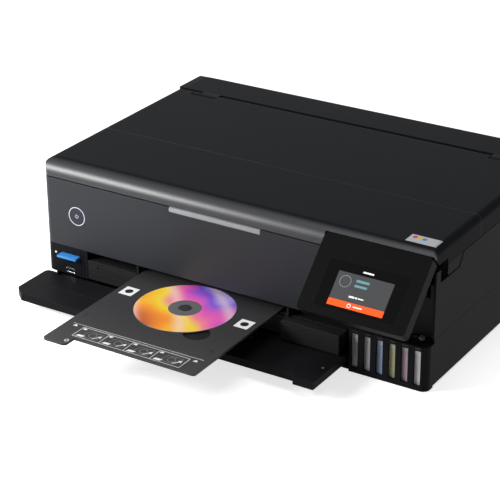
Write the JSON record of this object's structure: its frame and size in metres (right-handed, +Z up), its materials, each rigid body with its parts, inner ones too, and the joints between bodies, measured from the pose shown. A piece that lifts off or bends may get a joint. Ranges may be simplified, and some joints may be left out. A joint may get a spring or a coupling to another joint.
{
  "type": "disc label printer",
  "caption": "Wide photo and disc label printer: low body, flatbed lid, tilting touch panel, refillable tanks, fold-down front cover and a slide-in disc tray.",
  "frame": {"origin": "on the table under the middle of the box round the whole printer with its disc tray run out", "axes": "+X to the right seen from the front, +Y to the back, +Z up"},
  "size_m": [0.523, 0.57, 0.169],
  "materials": {
    "case_black": "fine-textured black ABS",
    "lid_black": "fine-textured black lid",
    "fascia_black": "satin dark grey front",
    "inner_black": "plain black moulding",
    "tray_grey": "dark grey moulding",
    "disc_tray_grey": "dark grey printed tray",
    "disc_print": "printed disc face",
    "grip_grey": "grey trim",
    "screen_glass": "black touch glass",
    "clear_glass": "scanner glass",
    "pad_white": "white backing pad",
    "card_blue": "blue memory card",
    "port_metal": "stamped steel shell",
    "steel": "plain steel",
    "foot_rubber": "black rubber",
    "board_green": "circuit board",
    "ink_1": "tank of grey-black ink",
    "ink_2": "tank of dark grey ink",
    "ink_3": "tank of blue ink",
    "ink_4": "tank of yellow ink",
    "ink_5": "tank of magenta ink",
    "ink_6": "tank of grey ink"
  },
  "bodies": {
    "body": {"base_case": "case_black", "rubber_feet": "foot_rubber", "left_side_cover": "case_black", "right_side_cover": "case_black", "rear_cover": "case_black", "ac_inlet": "inner_black", "front_fascia": "fascia_black", "lid_grip": "grip_grey", "button_switch": "inner_black", "card_panel": "case_black", "card_reader": "inner_black", "usb_port": "port_metal", "disc_guide": "inner_black", "tank_bezel": "case_black", "panel_stop": "grip_grey", "tank_rack": "inner_black", "panel_backing": "inner_black", "hinge_pins": "steel", "rear_top_cover": "case_black", "paper_chute": "inner_black", "carriage_rail": "steel", "platen": "inner_black", "mainboard": "board_green", "power_supply": "inner_black", "ink_tank_1": "ink_1", "ink_tank_2": "ink_2", "ink_tank_3": "ink_3", "ink_tank_4": "ink_4", "ink_tank_5": "ink_5", "ink_tank_6": "ink_6"},
    "scanner_unit": {"scanner_case": "case_black", "scanner_glass": "clear_glass", "scan_rail": "steel"},
    "scan_carriage": {"scan_carriage": "inner_black"},
    "document_cover": {"document_cover": "lid_black", "cover_liner": "inner_black", "document_pad": "pad_white"},
    "rear_feed_cover": {"rear_feed_cover": "lid_black"},
    "control_panel": {"panel_housing": "case_black", "touch_glass": "screen_glass", "panel_stay": "grip_grey"},
    "front_cover": {"front_cover": "case_black"},
    "output_tray": {"output_tray": "tray_grey"},
    "upper_cassette": {"upper_cassette": "tray_grey"},
    "lower_cassette": {"lower_cassette": "tray_grey"},
    "disc_tray": {"disc_tray": "disc_tray_grey"},
    "disc": {"label_disc": "disc_print"},
    "power_button": {"power_button": "fascia_black"},
    "memory_card": {"memory_card": "card_blue"},
    "tank_cover": {"tank_cover": "inner_black"},
    "print_carriage": {"print_carriage": "inner_black"},
    "feed_roller": {"feed_roller": "foot_rubber"},
    "tank_cap_1": {"tank_cap_1": "inner_black"},
    "tank_cap_2": {"tank_cap_2": "inner_black"},
    "tank_cap_3": {"tank_cap_3": "inner_black"},
    "tank_cap_4": {"tank_cap_4": "inner_black"},
    "tank_cap_5": {"tank_cap_5": "inner_black"},
    "tank_cap_6": {"tank_cap_6": "inner_black"}
  },
  "joints": [
    {"name": "scanner_lift", "type": "hinge", "parent": "body", "child": "scanner_unit", "pos_m": [0, 0.193, 0.161], "axis": [-1, 0, 0], "range_deg": [0, 25]},
    {"name": "document_cover_lift", "type": "hinge", "parent": "scanner_unit", "child": "document_cover", "pos_m": [0, 0.193, 0.161], "axis": [-1, 0, 0], "range_deg": [0, 60]},
    {"name": "scan_carriage_travel", "type": "slide", "parent": "scanner_unit", "child": "scan_carriage", "axis": [1, 0, 0], "range_m": [0, 0.28]},
    {"name": "rear_feed_cover_flip", "type": "hinge", "parent": "body", "child": "rear_feed_cover", "pos_m": [0, 0.2495, 0.1675], "axis": [-1, 0, 0], "range_deg": [0, 95]},
    {"name": "panel_tilt", "type": "hinge", "parent": "body", "child": "control_panel", "pos_m": [0.2, -0.0745, 0.1495], "axis": [1, 0, 0], "range_deg": [0, 45]},
    {"name": "front_cover_fold", "type": "hinge", "parent": "body", "child": "front_cover", "pos_m": [-0.05, -0.0955, 0.013], "axis": [1, 0, 0], "range_deg": [-9, 0]},
    {"name": "output_tray_slide", "type": "slide", "parent": "body", "child": "output_tray", "axis": [0, -1, 0], "range_m": [0, 0.1]},
    {"name": "upper_cassette_slide", "type": "slide", "parent": "body", "child": "upper_cassette", "axis": [0, -1, 0], "range_m": [0, 0.1]},
    {"name": "lower_cassette_slide", "type": "slide", "parent": "body", "child": "lower_cassette", "axis": [0, -1, 0], "range_m": [0, 0.1]},
    {"name": "disc_tray_slide", "type": "slide", "parent": "body", "child": "disc_tray", "axis": [0, -1, 0], "range_m": [-0.14, 0.05]},
    {"name": "disc_lift", "type": "slide", "parent": "disc_tray", "child": "disc", "axis": [0, 0, 1], "range_m": [0, 0.005]},
    {"name": "power_button_press", "type": "slide", "parent": "body", "child": "power_button", "axis": [0, 1, 0], "range_m": [0, 0.001], "stiffness_N_per_m": 700},
    {"name": "memory_card_slide", "type": "slide", "parent": "body", "child": "memory_card", "axis": [0, -1, 0], "range_m": [-0.003, 0.03]},
    {"name": "tank_cover_lift", "type": "hinge", "parent": "body", "child": "tank_cover", "pos_m": [0.21, 0.0317, 0.0915], "axis": [-1, 0, 0], "range_deg": [0, 7]},
    {"name": "print_carriage_travel", "type": "slide", "parent": "body", "child": "print_carriage", "axis": [1, 0, 0], "range_m": [-0.15, 0.06]},
    {"name": "feed_roller_spin", "type": "hinge", "parent": "body", "child": "feed_roller", "pos_m": [-0.02, 0.114, 0.042], "axis": [1, 0, 0], "continuous": true},
    {"name": "tank_cap_1_lift", "type": "hinge", "parent": "body", "child": "tank_cap_1", "pos_m": [0.1703, -0.0232, 0.0855], "axis": [-1, 0, 0], "range_deg": [0, 50]},
    {"name": "tank_cap_2_lift", "type": "hinge", "parent": "body", "child": "tank_cap_2", "pos_m": [0.186, -0.0232, 0.0855], "axis": [-1, 0, 0], "range_deg": [0, 50]},
    {"name": "tank_cap_3_lift", "type": "hinge", "parent": "body", "child": "tank_cap_3", "pos_m": [0.2017, -0.0232, 0.0855], "axis": [-1, 0, 0], "range_deg": [0, 50]},
    {"name": "tank_cap_4_lift", "type": "hinge", "parent": "body", "child": "tank_cap_4", "pos_m": [0.2174, -0.0232, 0.0855], "axis": [-1, 0, 0], "range_deg": [0, 50]},
    {"name": "tank_cap_5_lift", "type": "hinge", "parent": "body", "child": "tank_cap_5", "pos_m": [0.2331, -0.0232, 0.0855], "axis": [-1, 0, 0], "range_deg": [0, 50]},
    {"name": "tank_cap_6_lift", "type": "hinge", "parent": "body", "child": "tank_cap_6", "pos_m": [0.2488, -0.0232, 0.0855], "axis": [-1, 0, 0], "range_deg": [0, 50]}
  ]
}
